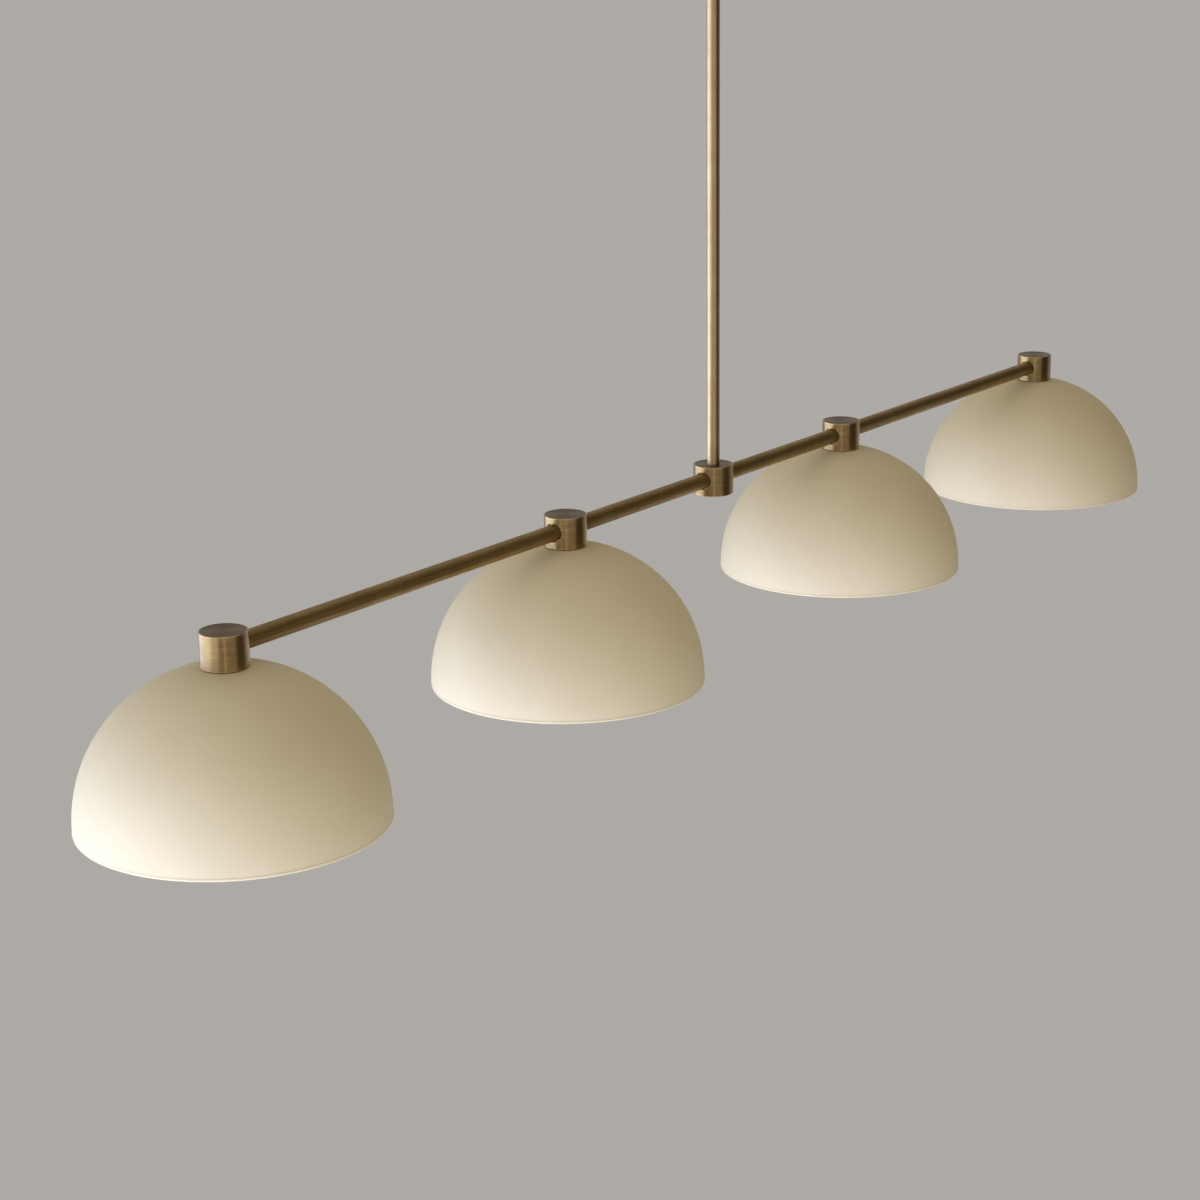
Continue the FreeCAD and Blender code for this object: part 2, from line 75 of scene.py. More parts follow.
# %% Camera
camera_place = (-1.572078, -1.077916, -0.286015)
yaw, pitch, roll = 0.92288, 0.28709, -0.01339
focal_length, sensor_width = 75.56, 36

level = math.cos(pitch)
forward = Vector((math.sin(yaw) * level, math.cos(yaw) * level, -math.sin(pitch)))
level_right = forward.cross(Vector((0, 0, 1))).normalized()
level_up = level_right.cross(forward)
right = level_right * math.cos(roll) + level_up * math.sin(roll)
up = level_up * math.cos(roll) - level_right * math.sin(roll)
turn = Matrix((right, up, -forward)).transposed().to_4x4()

camera_data = bpy.data.cameras.new("photo_camera")
camera_data.sensor_width = sensor_width
camera_data.lens = focal_length
camera = bpy.data.objects.new("photo_camera", camera_data)
camera.matrix_world = Matrix.Translation(camera_place) @ turn
bpy.context.collection.objects.link(camera)
bpy.context.scene.camera = camera
bpy.context.scene.view_settings.view_transform = "Standard"
print("camera at", [round(v, 3) for v in camera.location], "lens", camera_data.lens)

# %% [markdown]
# ## Helpers for node trees
# Every material and shape below is a small tree of nodes. Adding a node, filling
# its sockets and linking them takes several lines each time. These helpers do it
# in one, so that a tree reads from top to bottom like a recipe.

# %% Node helpers
def srgb(r, g, b):
    """A colour as it is read off a screen, 0 to 255, turned into linear light."""
    values = []
    for c in (r, g, b):
        c = c / 255
        values.append(c / 12.92 if c <= 0.04045 else ((c + 0.055) / 1.055) ** 2.4)
    return (*values, 1.0)


def add(tree, kind, inputs=None, **settings):
    """Adds a node. inputs maps a socket's name or number to a value or another socket."""
    node = tree.nodes.new(kind)
    for name, value in settings.items():
        setattr(node, name, value)
    for name, value in (inputs or {}).items():
        socket = node.inputs[name]
        if isinstance(value, bpy.types.NodeSocket):
            tree.links.new(value, socket)
        else:
            socket.default_value = value
    return node


def math_node(tree, operation, *values):
    """A Math node's result."""
    inputs = dict(enumerate(values))
    return add(tree, "ShaderNodeMath", inputs, operation=operation).outputs[0]


def split(tree, vector):
    """A vector's X, Y and Z."""
    return add(tree, "ShaderNodeSeparateXYZ", {0: vector}).outputs


def joined_vector(tree, x, y, z=0.0):
    """A vector from its coordinates."""
    return add(tree, "ShaderNodeCombineXYZ", {0: x, 1: y, 2: z}).outputs[0]


def vector_length(tree, vector):
    length = add(tree, "ShaderNodeVectorMath", {0: vector}, operation="LENGTH")
    return length.outputs["Value"]


def times_vector(tree, vector, factors):
    """A vector with each coordinate multiplied by its own factor."""
    inputs = {0: vector, 1: factors}
    return add(tree, "ShaderNodeVectorMath", inputs, operation="MULTIPLY").outputs[0]


def map_range(tree, value, start, end, low=0.0, high=1.0, **settings):
    """A value that runs from low to high while the given one runs from start to end."""
    inputs = {"Value": value, "From Min": start, "From Max": end, "To Min": low, "To Max": high}
    return add(tree, "ShaderNodeMapRange", inputs, **settings).outputs[0]


def noise(tree, vector, scale, detail, roughness=0.5):
    """A Noise texture's grey value."""
    inputs = {"Vector": vector, "Scale": scale, "Detail": detail, "Roughness": roughness}
    return add(tree, "ShaderNodeTexNoise", inputs).outputs["Fac"]


def mix_colour(tree, share, first, second):
    """The first colour at share 0 and the second at share 1."""
    inputs = {0: share, 6: first, 7: second}
    return add(tree, "ShaderNodeMix", inputs, data_type="RGBA").outputs[2]


def new_group(name, kind, inputs, outputs):
    """A node group with named sockets. inputs holds (name, socket type, default)."""
    tree = bpy.data.node_groups.new(name, kind)
    for label, socket_type, default in inputs:
        socket = tree.interface.new_socket(label, in_out="INPUT", socket_type=socket_type)
        if default is not None:
            socket.default_value = default
    for label, socket_type in outputs:
        tree.interface.new_socket(label, in_out="OUTPUT", socket_type=socket_type)
    start = tree.nodes.new("NodeGroupInput")
    end = tree.nodes.new("NodeGroupOutput")
    return tree, start.outputs, end.inputs


FLOAT, COLOR, VECTOR = "NodeSocketFloat", "NodeSocketColor", "NodeSocketVector"
GEOMETRY, INT, MATERIAL = "NodeSocketGeometry", "NodeSocketInt", "NodeSocketMaterial"
print("node helpers ready")

# %% [markdown]
# ## Floor and surroundings
# A hanging lamp stands on nothing, so the floor lies far below it, as in a room.
# It fades out before its rim, where the world's own pale grey takes over, so that
# no horizon line cuts behind the shades. Its pale look is for the camera and for
# shine. To every other ray it is a plain matt floor that takes the shadows.

# %% Floor
pale = srgb(186, 183, 179)
floor_z, floor_radius = -2.85, 16
fade_start, fade_end = 4.0, 14.0
floor_strength, share_pale = 0.91, 0.9


def seen_ray(tree):
    """1 for rays that show the surroundings: from the camera, by shine or through glass."""
    ray = add(tree, "ShaderNodeLightPath").outputs
    through = math_node(tree, "MAXIMUM", ray["Is Glossy Ray"], ray["Is Transmission Ray"])
    return math_node(tree, "MAXIMUM", ray["Is Camera Ray"], through)


floor_mesh = bpy.data.meshes.new("floor")
shape = bmesh.new()
bmesh.ops.create_circle(shape, cap_ends=True, segments=96, radius=floor_radius)
bmesh.ops.translate(shape, verts=shape.verts, vec=(0, 0, floor_z))
shape.to_mesh(floor_mesh)
shape.free()
floor = bpy.data.objects.new("floor", floor_mesh)
bpy.context.collection.objects.link(floor)

floor_paint = bpy.data.materials.new("pale_floor")
floor_paint.use_nodes = True
tree = floor_paint.node_tree
surface = tree.nodes["Principled BSDF"]
surface.inputs["Base Color"].default_value = pale
surface.inputs["Roughness"].default_value = 0.9
surface.inputs["Specular IOR Level"].default_value = 0.1
place = add(tree, "ShaderNodeTexCoord").outputs["Object"]
distance = vector_length(tree, times_vector(tree, place, (1, 1, 0)))
fade = map_range(tree, distance, fade_start, fade_end, interpolation_type="SMOOTHERSTEP")
behind = add(tree, "ShaderNodeNewGeometry").outputs["Backfacing"]
hidden = math_node(tree, "MAXIMUM", fade, behind)
glow = add(tree, "ShaderNodeEmission", {"Color": pale, "Strength": floor_strength}).outputs[0]
share_shown = math_node(tree, "MULTIPLY", seen_ray(tree), share_pale)
faced = add(tree, "ShaderNodeMixShader", {0: share_shown, 1: surface.outputs[0], 2: glow})
clear = add(tree, "ShaderNodeBsdfTransparent")
mixed = add(tree, "ShaderNodeMixShader", {0: hidden, 1: faced.outputs[0], 2: clear.outputs[0]})
tree.links.new(mixed.outputs[0], tree.nodes["Material Output"].inputs["Surface"])
floor_mesh.materials.append(floor_paint)
print("floor", floor_z, "m under the ceiling plate")

# %% [markdown]
# ## The world
# The lamp is shown against a plain pale grey. One background colour could serve
# for both the picture and the light, but it would light the lamp too flatly. So
# the camera and the shine get the pale grey, and the lamp gets a weak warm fill.
# The fill's colour and strength come from the same fit as the glows' below.

# %% World
shown_strength = 0.86
fill_colour, fill_strength = (1.0, 0.88, 0.62, 1), 0.27

world = bpy.data.worlds.new("pale_room")
bpy.context.scene.world = world
world.use_nodes = True
tree = world.node_tree
tree.nodes.clear()
shown = add(tree, "ShaderNodeBackground", {"Color": pale, "Strength": shown_strength})
fill = add(tree, "ShaderNodeBackground", {"Color": fill_colour, "Strength": fill_strength})
sources = {0: seen_ray(tree), 1: fill.outputs[0], 2: shown.outputs[0]}
both = add(tree, "ShaderNodeMixShader", sources).outputs[0]
add(tree, "ShaderNodeOutputWorld", {"Surface": both})
print("world set")

# %% [markdown]
# ## Light
# The photo is lit by a large window on the left. It shows twice: as the bright
# left side of every dome, and as the broad cream band down each knuckle. A narrow
# strip near the camera makes the thin bright line in the middle of the brass.
# Brass mirrors a lamp's outline, while paint only adds up its light. One set of
# lamps can't please both, so there are two. The first is seen only in shine. The
# glows light only matt surfaces, and the low ones stand for light off the floor.
#
# Most of the glows' strengths and tints weren't chosen by eye. A separate script
# rendered the scene with each glow alone, and found by least squares which sum of
# them comes closest to the shades' colours in the photo. The results were rounded,
# and some were then changed. They suit this photo only, and aren't values to copy.
# The back glow and the lights seen in shine were given one by one.

# %% Lights
hub_place = Vector((0, 0, axis_z))
back_way = Vector((-math.sin(yaw), -math.cos(yaw), 0))
side_way = Vector((level_right.x, level_right.y, 0)).normalized()


def placed(thing, bearing, height, distance):
    """Puts a lamp or a panel round the hub, facing it.

    bearing is in degrees to the right of the camera, as seen from the hub.
    """
    angle = math.radians(bearing)
    way = back_way * math.cos(angle) + side_way * math.sin(angle)
    thing.location = hub_place + way * distance + Vector((0, 0, height))
    thing.rotation_mode = "QUATERNION"
    thing.rotation_quaternion = (hub_place - thing.location).to_track_quat("-Z", "Y")
    thing.visible_camera = False
    bpy.context.collection.objects.link(thing)


def soft_light(name, bearing, height, distance, width, tall, radiance, colour, mirrored):
    """An area light of an even radiance, for shine if mirrored or else for matt surfaces."""
    data = bpy.data.lights.new(name, "AREA")
    data.shape = "RECTANGLE"
    data.size = width
    data.size_y = tall
    data.energy = radiance * math.pi * width * tall
    data.color = colour
    lamp = bpy.data.objects.new(name, data)
    lamp.visible_glossy = mirrored
    lamp.visible_diffuse = not mirrored
    placed(lamp, bearing, height, distance)


# Each row: bearing, height, distance, width, tall, radiance, colour.
mirrored_lights = {
    "window": (-90, -0.62, 2.65, 4.0, 2.65, 1.96, (0.86, 0.99, 1.3)),
    "window_side": (-38, -0.62, 2.75, 1.5, 2.65, 0.8, (0.94, 1.0, 1.15)),
    "thin_strip": (2, 0.0, 2.6, 0.07, 1.8, 4.0, (1.0, 0.95, 0.86)),
}
matt_lights = {
    "far_glow": (-108, -0.62, 2.65, 2.2, 2.65, 0.5, (0.9, 1.0, 0.7)),
    "window_glow": (-65, -0.62, 2.65, 2.2, 2.65, 2.0, (0.88, 0.98, 1.26)),
    "front_glow": (-33, -0.6, 2.8, 1.8, 2.6, 1.44, (0.9, 0.99, 1.28)),
    "centre_glow": (5, -0.6, 2.8, 1.8, 2.6, 0.88, (0.98, 1.0, 0.7)),
    "right_glow": (60, -0.5, 2.8, 2.4, 2.6, 0.14, (1.2, 1.0, 1.4)),
    "low_left_glow": (-70, -1.45, 1.3, 2.2, 1.4, 0.76, (0.88, 1.0, 1.35)),
    "low_front_glow": (-15, -1.45, 1.3, 2.2, 1.4, 1.58, (0.93, 1.0, 1.45)),
    "low_right_glow": (45, -1.45, 1.3, 2.2, 1.4, 0.4, (1.04, 1.0, 0.7)),
    "back_glow": (165, -0.4, 3.0, 3.0, 2.6, 0.5, (1.0, 1.0, 0.95)),
    "ceiling_glow": (0, 1.8, 0.25, 2.6, 2.6, 0.32, (1.1, 1.0, 0.85)),
}
for name, row in mirrored_lights.items():
    soft_light(name, *row, mirrored=True)
for name, row in matt_lights.items():
    soft_light(name, *row, mirrored=False)

# %% [markdown]
# ## The dark side of the room
# Brass shows what stands round it. Opposite the window the room is dark, and that
# gives each knuckle its brown right side and the bar its dark line. Two panels that
# only mirrors see stand in for it, so they take no light from the shades.

# %% The room's dark side
panel_distance = 2.2

# The panels are painted shade for the brass: a dark sheet whose faint warm glow is the brown that
# the brass shows on its shaded side.
painted_dark_side_sheet = bpy.data.materials.new("painted_dark_side_sheet")
painted_dark_side_sheet.use_nodes = True
painted_dark_side_surface = painted_dark_side_sheet.node_tree.nodes["Principled BSDF"]
painted_dark_side_surface.inputs["Base Color"].default_value = (0.02, 0.018, 0.015, 1)
painted_dark_side_surface.inputs["Roughness"].default_value = 1.0
painted_dark_side_surface.inputs["Emission Color"].default_value = (0.034, 0.022, 0.009, 1)
painted_dark_side_surface.inputs["Emission Strength"].default_value = 1.0


def dark_panel(name, bearing, height, width, tall):
    """A sheet of painted shade, dark with a faint warm glow, that shows only in shine."""
    mesh = bpy.data.meshes.new(name)
    shape = bmesh.new()
    bmesh.ops.create_grid(shape, x_segments=1, y_segments=1, size=0.5)
    bmesh.ops.scale(shape, verts=shape.verts, vec=(width, tall, 1))
    shape.to_mesh(mesh)
    shape.free()
    mesh.materials.append(painted_dark_side_sheet)
    panel = bpy.data.objects.new(name, mesh)
    placed(panel, bearing, height, panel_distance)
    panel.visible_diffuse = False
    panel.visible_shadow = False
    panel.visible_transmission = False


dark_panel("dark_side", bearing=80, height=0.25, width=2.4, tall=4.0)
dark_panel("dark_corner", bearing=120, height=1.15, width=1.9, tall=2.9)
print("dark panels on the right, seen only in the brass")

# %% [markdown]
# ## A fine skin
# No finish here is one flat colour. Matt ivory paint on spun metal has a very fine
# skin, and its shine varies a little from place to place. So do zinc plate, fired
# ceramic and moulded plastic, only at other sizes. One group gives all of them a
# slow cloud between two close tones and a fine height for the bump.

# %% Fine skin group
fine_skin, given, out = new_group(
    "Fine skin", "ShaderNodeTree",
    [("Vector", VECTOR, None), ("Colour", COLOR, (0.8, 0.7, 0.5, 1)),
     ("Shade", COLOR, (0.7, 0.6, 0.4, 1)), ("Roughness", FLOAT, 0.5),
     ("Cloud scale", FLOAT, 9.0), ("Grain scale", FLOAT, 900.0)],
    [("Colour", COLOR), ("Roughness", FLOAT), ("Height", FLOAT)])
cloud = noise(fine_skin, given["Vector"], scale=given["Cloud scale"], detail=3.0)
grain = noise(fine_skin, given["Vector"], scale=given["Grain scale"], detail=2.0)
amount = map_range(fine_skin, cloud, 0.35, 0.65)
tint = mix_colour(fine_skin, amount, given["Colour"], given["Shade"])
spread = map_range(fine_skin, cloud, 0.3, 0.7, low=-0.03, high=0.03)
roughness = math_node(fine_skin, "ADD", given["Roughness"], spread)
fine_skin.links.new(tint, out["Colour"])
fine_skin.links.new(roughness, out["Roughness"])
fine_skin.links.new(grain, out["Height"])
print("group:", fine_skin.name)

# %% [markdown]
# ## The ivory paint
# The shades are sprayed matt, so the paint is rough and hardly shines. A flat
# colour would look like plastic at the bright lip. The group's close tones and its
# fine bump are almost too faint to see, which is how a good coat of paint looks.

# %% Ivory paint
def new_material(name):
    """A material with its Principled surface and the object's own coordinates."""
    material = bpy.data.materials.new(name)
    material.use_nodes = True
    tree = material.node_tree
    surface = tree.nodes["Principled BSDF"]
    place = add(tree, "ShaderNodeTexCoord").outputs["Object"]
    return material, tree, surface, place


def use_group(tree, group, inputs):
    return add(tree, "ShaderNodeGroup", inputs, node_tree=group).outputs


def bump(tree, surface, height, distance, strength=1.0):
    inputs = {"Height": height, "Distance": distance, "Strength": strength}
    node = add(tree, "ShaderNodeBump", inputs)
    tree.links.new(node.outputs[0], surface.inputs["Normal"])


def skinned(name, colour, shade, metallic, roughness, cloud=140.0, grain=1100.0,
            depth=0.00002):
    """A finish of two close tones with a fine skin."""
    material, tree, surface, place = new_material(name)
    skin = use_group(tree, fine_skin, {
        "Vector": place, "Colour": colour, "Shade": shade, "Roughness": roughness,
        "Cloud scale": cloud, "Grain scale": grain})
    tree.links.new(skin["Colour"], surface.inputs["Base Color"])
    tree.links.new(skin["Roughness"], surface.inputs["Roughness"])
    surface.inputs["Metallic"].default_value = metallic
    bump(tree, surface, skin["Height"], depth)
    return material


ivory = skinned("ivory_paint", srgb(231, 217, 187), srgb(227, 212, 181), 0.0, 0.6,
                cloud=9.0, grain=900.0, depth=0.00004)
print("material:", ivory.name)

# %% [markdown]
# ## Brushed brass
# The knuckles were finished in a lathe, so their scratches run round them, and
# the flat tops have rings. The bar and the rod were drawn through a pad, so theirs
# run lengthwise. One group makes fine marks from two coordinates: one across the
# marks, where the noise is dense, and one along them, where it is stretched.

# %% Brushed marks group
marks, given, out = new_group(
    "Brushed marks", "ShaderNodeTree",
    [("Across", FLOAT, 0.0), ("Along", FLOAT, 0.0), ("Spacing", FLOAT, 0.0004),
     ("Length", FLOAT, 0.02)],
    [("Fine", FLOAT), ("Coarse", FLOAT)])
across = math_node(marks, "DIVIDE", given["Across"], given["Spacing"])
along = math_node(marks, "DIVIDE", given["Along"], given["Length"])
spot = joined_vector(marks, across, along)
fine = noise(marks, spot, scale=1.0, detail=3.0, roughness=0.6)
coarse = noise(marks, times_vector(marks, spot, (0.13, 0.5, 1.0)), scale=1.0, detail=2.0)
marks.links.new(fine, out["Fine"])
marks.links.new(coarse, out["Coarse"])
print("group:", marks.name)

# %% [markdown]
# ## Round a turned piece
# On a turned body the marks follow circles. A UV map could hold them, but a CAD
# mesh has none. Its own coordinates give the same: how far a point is from the
# upright axis, how far round it lies, and its height.

# %% Turned coordinates group
turned_place, given, out = new_group(
    "Round an upright axis", "ShaderNodeTree",
    [("Vector", VECTOR, None), ("Ring size", FLOAT, 0.015)],
    [("Radius", FLOAT), ("Round", FLOAT), ("Height", FLOAT)])
parts = split(turned_place, given["Vector"])
radius = vector_length(turned_place, joined_vector(turned_place, parts["X"], parts["Y"]))
bearing = math_node(turned_place, "ARCTAN2", parts["Y"], parts["X"])
way_round = math_node(turned_place, "MULTIPLY", bearing, given["Ring size"])
turned_place.links.new(radius, out["Radius"])
turned_place.links.new(way_round, out["Round"])
turned_place.links.new(parts["Z"], out["Height"])
print("group:", turned_place.name)

# %% [markdown]
# ## Antique brass
# The brass was darkened with acid and rubbed back, so brown stays in the scratches
# and in soft clouds. The group mixes a bright and a dark tone by a cloud, wide
# streaks and fine lines, and the darker it gets, the duller the shine.

# %% Brass group
patina, given, out = new_group(
    "Antique brass", "ShaderNodeTree",
    [("Vector", VECTOR, None), ("Fine", FLOAT, 0.5), ("Coarse", FLOAT, 0.5),
     ("Bright", COLOR, (0.4, 0.3, 0.2, 1)), ("Dark", COLOR, (0.2, 0.15, 0.08, 1)),
     ("Roughness", FLOAT, 0.35), ("Patina", FLOAT, 0.5)],
    [("Colour", COLOR), ("Roughness", FLOAT)])
cloud = noise(patina, given["Vector"], scale=55.0, detail=4.0, roughness=0.6)
cloud = map_range(patina, cloud, 0.35, 0.7)
streak = map_range(patina, given["Coarse"], 0.3, 0.7)
scratch = map_range(patina, given["Fine"], 0.25, 0.75)
mixed = math_node(patina, "MULTIPLY_ADD", streak, 0.35, math_node(patina, "MULTIPLY", cloud, 0.4))
mixed = math_node(patina, "MULTIPLY_ADD", scratch, 0.25, mixed)
amount = math_node(patina, "MULTIPLY", mixed, given["Patina"])
tint = mix_colour(patina, amount, given["Bright"], given["Dark"])
dulled = math_node(patina, "MULTIPLY_ADD", mixed, 0.12, given["Roughness"])
patina.links.new(tint, out["Colour"])
patina.links.new(dulled, out["Roughness"])
print("group:", patina.name)

# %% [markdown]
# ## Rubbed and highlit rims
# Hands and cloths polish the rims of the turned pieces first, so a thin broken
# line of bare brass runs along them. Its bright tone is also a painted highlight,
# for the light that the rims catch. A bevel shader could find any edge, but the
# rims are known circles. Their distance is cheap to work out and looks the same
# in every renderer. The flat top gets a mask of its own, for the painted shade
# that darkens it.

# %% Rubbed and highlit rims group
rubbed_and_highlit_rims, given, out = new_group(
    "Rubbed and highlit rims", "ShaderNodeTree",
    [("Vector", VECTOR, None), ("Radius", FLOAT, 0.0155), ("Top", FLOAT, 0.011),
     ("Bottom", FLOAT, -0.012), ("Width", FLOAT, 0.0011)],
    [("Rubbed and highlit", FLOAT), ("Face", FLOAT)])


def apart(first, second):
    """How far two lengths in the worn edges group are from each other."""
    difference = math_node(rubbed_and_highlit_rims, "SUBTRACT", first, second)
    return math_node(rubbed_and_highlit_rims, "ABSOLUTE", difference)


parts = split(rubbed_and_highlit_rims, given["Vector"])
reach = vector_length(rubbed_and_highlit_rims, joined_vector(rubbed_and_highlit_rims, parts["X"], parts["Y"]))
aside = apart(reach, given["Radius"])
over = apart(parts["Z"], given["Top"])
under = apart(parts["Z"], given["Bottom"])
away = math_node(rubbed_and_highlit_rims, "ADD", aside, math_node(rubbed_and_highlit_rims, "MINIMUM", over, under))
# Real rubbing and a painted highlight: this mask brightens a thin line along the rims.
near = map_range(rubbed_and_highlit_rims, away, given["Width"], 0.0002)
patches = noise(rubbed_and_highlit_rims, given["Vector"], scale=160.0, detail=3.0)
patches = map_range(rubbed_and_highlit_rims, patches, 0.3, 0.6, low=0.35)
# The top face's mask, which carries painted shade onto the flat tops.
painted_top_shade_mask = map_range(rubbed_and_highlit_rims, over, 0.0003, 0.0001)
rubbed_and_highlit_rims.links.new(math_node(rubbed_and_highlit_rims, "MULTIPLY", near, patches), out["Rubbed and highlit"])
rubbed_and_highlit_rims.links.new(painted_top_shade_mask, out["Face"])
print("group:", rubbed_and_highlit_rims.name)

# %% [markdown]
# ## Turned brass
# The knuckles, the hub, the canopy and its collar share this finish. The marks
# spread the window's gleam sideways, so the surface is anisotropic, with its
# tangent pointing out from the axis. A clear lacquer adds the paler gleam over
# the metal. It is thin on the flat tops, which look darker in the photo. The
# tops' colour is also painted darker: painted shade.

# %% Turned brass
mark_spacing, mark_depth, bump_strength = 0.00022, 0.00001, 0.5
side_lacquer, face_lacquer = 0.6, 0.1
# Painted shade: the flat tops are mixed towards this dark tone.
painted_top_shade_tone, painted_top_shade_share = (0.10, 0.062, 0.026, 1), 0.75
brass_patina = 0.8


def coat(surface, weight):
    """The clear lacquer over the brass, which gives the window its paler gleam."""
    surface.inputs["Coat Weight"].default_value = weight
    surface.inputs["Coat Roughness"].default_value = 0.3
    surface.inputs["Coat IOR"].default_value = 1.6


def centred(tree, place, middle):
    """The object's coordinates, measured from middle."""
    inputs = {"Vector": place, "Location": tuple(-v for v in middle)}
    return add(tree, "ShaderNodeMapping", inputs).outputs[0]


def point_marks(tree, surface, way):
    """Sets the tangent that the shine spreads by. way is in the object's own axes."""
    turned = add(tree, "ShaderNodeVectorTransform", {0: way}, vector_type="VECTOR",
                 convert_from="OBJECT", convert_to="WORLD")
    tree.links.new(turned.outputs[0], surface.inputs["Tangent"])


def turned_brass(name, middle, ends, bright, dark, rubbed_highlit_tone, roughness=0.32):
    """Brass with its marks running round an upright axis at middle.

    ends are the piece's radius, top and bottom, for the rubbed, highlit rims and the shaded top.
    """
    rim_radius, top, bottom = ends
    material, tree, surface, place = new_material(name)
    local = centred(tree, place, middle)
    ring = use_group(tree, turned_place, {"Vector": local, "Ring size": rim_radius})
    over_profile = math_node(tree, "ADD", ring["Radius"], ring["Height"])
    mark = use_group(tree, marks, {"Across": over_profile, "Along": ring["Round"],
                                   "Spacing": mark_spacing, "Length": 0.012})
    brass = use_group(tree, patina, {
        "Vector": local, "Fine": mark["Fine"], "Coarse": mark["Coarse"],
        "Bright": bright, "Dark": dark, "Roughness": roughness, "Patina": brass_patina})
    rim_rub_and_highlight = use_group(tree, rubbed_and_highlit_rims, {"Vector": local, "Radius": rim_radius,
                                        "Top": top, "Bottom": bottom})
    # Painted shade: the flat top's colour is pulled towards the dark top tone.
    painted_top_shade_amount = math_node(tree, "MULTIPLY", rim_rub_and_highlight["Face"], painted_top_shade_share)
    tint = mix_colour(tree, painted_top_shade_amount, brass["Colour"], painted_top_shade_tone)
    # Rubbing and painted highlight: the rims turn to the bright bare tone.
    tint = mix_colour(tree, rim_rub_and_highlight["Rubbed and highlit"], tint, rubbed_highlit_tone)
    tree.links.new(tint, surface.inputs["Base Color"])
    tree.links.new(brass["Roughness"], surface.inputs["Roughness"])
    surface.inputs["Metallic"].default_value = 1.0
    coat(surface, side_lacquer)
    lacquer = map_range(tree, rim_rub_and_highlight["Face"], 0.0, 1.0, low=side_lacquer, high=face_lacquer)
    tree.links.new(lacquer, surface.inputs["Coat Weight"])
    surface.inputs["Anisotropic"].default_value = 0.8
    outward = add(tree, "ShaderNodeVectorMath", {0: local, 1: (1, 1, 0), 2: (0, 0, 1)},
                  operation="MULTIPLY_ADD").outputs[0]
    point_marks(tree, surface, outward)
    bump(tree, surface, mark["Fine"], mark_depth, bump_strength)
    return material


def ends_of(node):
    """A turned node's radius, and its top and bottom from the bar's height."""
    low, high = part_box(node)
    return (high.y - low.y) / 2, high.z - axis_z, low.z - axis_z


def old_brass(name, x, node):
    """The antique finish for a turned node whose axis is at x."""
    # The bare tone is both the rims' real rubbing and their painted highlight.
    bright, dark, bare_highlit_tone = (0.49, 0.33, 0.125, 1), (0.14, 0.078, 0.022, 1), (0.82, 0.57, 0.27, 1)
    return turned_brass(name, (x, 0, axis_z), ends_of(node), bright, dark, bare_highlit_tone)


knuckle_brass = {}
for number, x in lamps.items():
    knuckle_brass[number] = old_brass(f"knuckle_brass_{number}", x, f"knuckle_{number}")
middle_brass = old_brass("hub_brass", 0, "hub")
canopy_brass = old_brass("canopy_brass", 0, "canopy")
print("turned brass:", len(knuckle_brass) + 2)

# %% [markdown]
# ## Drawn brass
# The bar is dark and the rod is lighter, as in the photo, and both have marks
# along their length. The rod's lighter tones are painted light: the same brass,
# made brighter for the window that the upright rod catches. The coordinate across
# the marks is the way round the tube. The tangent points along the tube, so the
# gleam stays one long narrow line.

# %% Drawn brass
X_AXIS, Z_AXIS = 0, 2
marks_radius = 0.006          # the bar's, used for both tubes so their marks are equally fine
tube_lacquer = 0.3


def drawn_brass(name, along_axis, middle, bright, dark, roughness, length=0.04):
    """Brass with its marks running along a tube. length is a mark's own length."""
    material, tree, surface, place = new_material(name)
    local = centred(tree, place, middle)
    parts = split(tree, local)
    if along_axis == X_AXIS:
        first, second, run, way = parts["Y"], parts["Z"], parts["X"], (1, 0, 0)
    else:
        first, second, run, way = parts["X"], parts["Y"], parts["Z"], (0, 0, 1)
    bearing = math_node(tree, "ARCTAN2", first, second)
    around = math_node(tree, "MULTIPLY", bearing, marks_radius)
    mark = use_group(tree, marks, {"Across": around, "Along": run,
                                   "Spacing": mark_spacing, "Length": length})
    brass = use_group(tree, patina, {
        "Vector": local, "Fine": mark["Fine"], "Coarse": mark["Coarse"],
        "Bright": bright, "Dark": dark, "Roughness": roughness, "Patina": brass_patina})
    tree.links.new(brass["Colour"], surface.inputs["Base Color"])
    tree.links.new(brass["Roughness"], surface.inputs["Roughness"])
    surface.inputs["Metallic"].default_value = 1.0
    surface.inputs["Anisotropic"].default_value = 0.9
    coat(surface, tube_lacquer)
    point_marks(tree, surface, way)
    bump(tree, surface, mark["Fine"], mark_depth, bump_strength)
    return material


bar_brass = drawn_brass("bar_brass", X_AXIS, (0, 0, axis_z), (0.46, 0.30, 0.105, 1),
                        (0.17, 0.095, 0.026, 1), roughness=0.38)
# Painted light: a lighter copy of the same brass, for the window on the rod.
rod_brass = drawn_brass("rod_brass", Z_AXIS, (0, 0, 0), (0.72, 0.53, 0.30, 1),
                        (0.52, 0.36, 0.18, 1), roughness=0.33, length=0.12)
print("drawn brass:", bar_brass.name, rod_brass.name)

# %% [markdown]
# ## The fittings' finishes
# What hides in the canopy and under the shades is ordinary: zinc-plated steel,
# black screws, a fibre washer, a moulded terminal block, white ceramic and the
# frosted bulbs. They all use the fine skin group with their own values.

# %% Plain fittings
METAL, NO_METAL = 1.0, 0.0

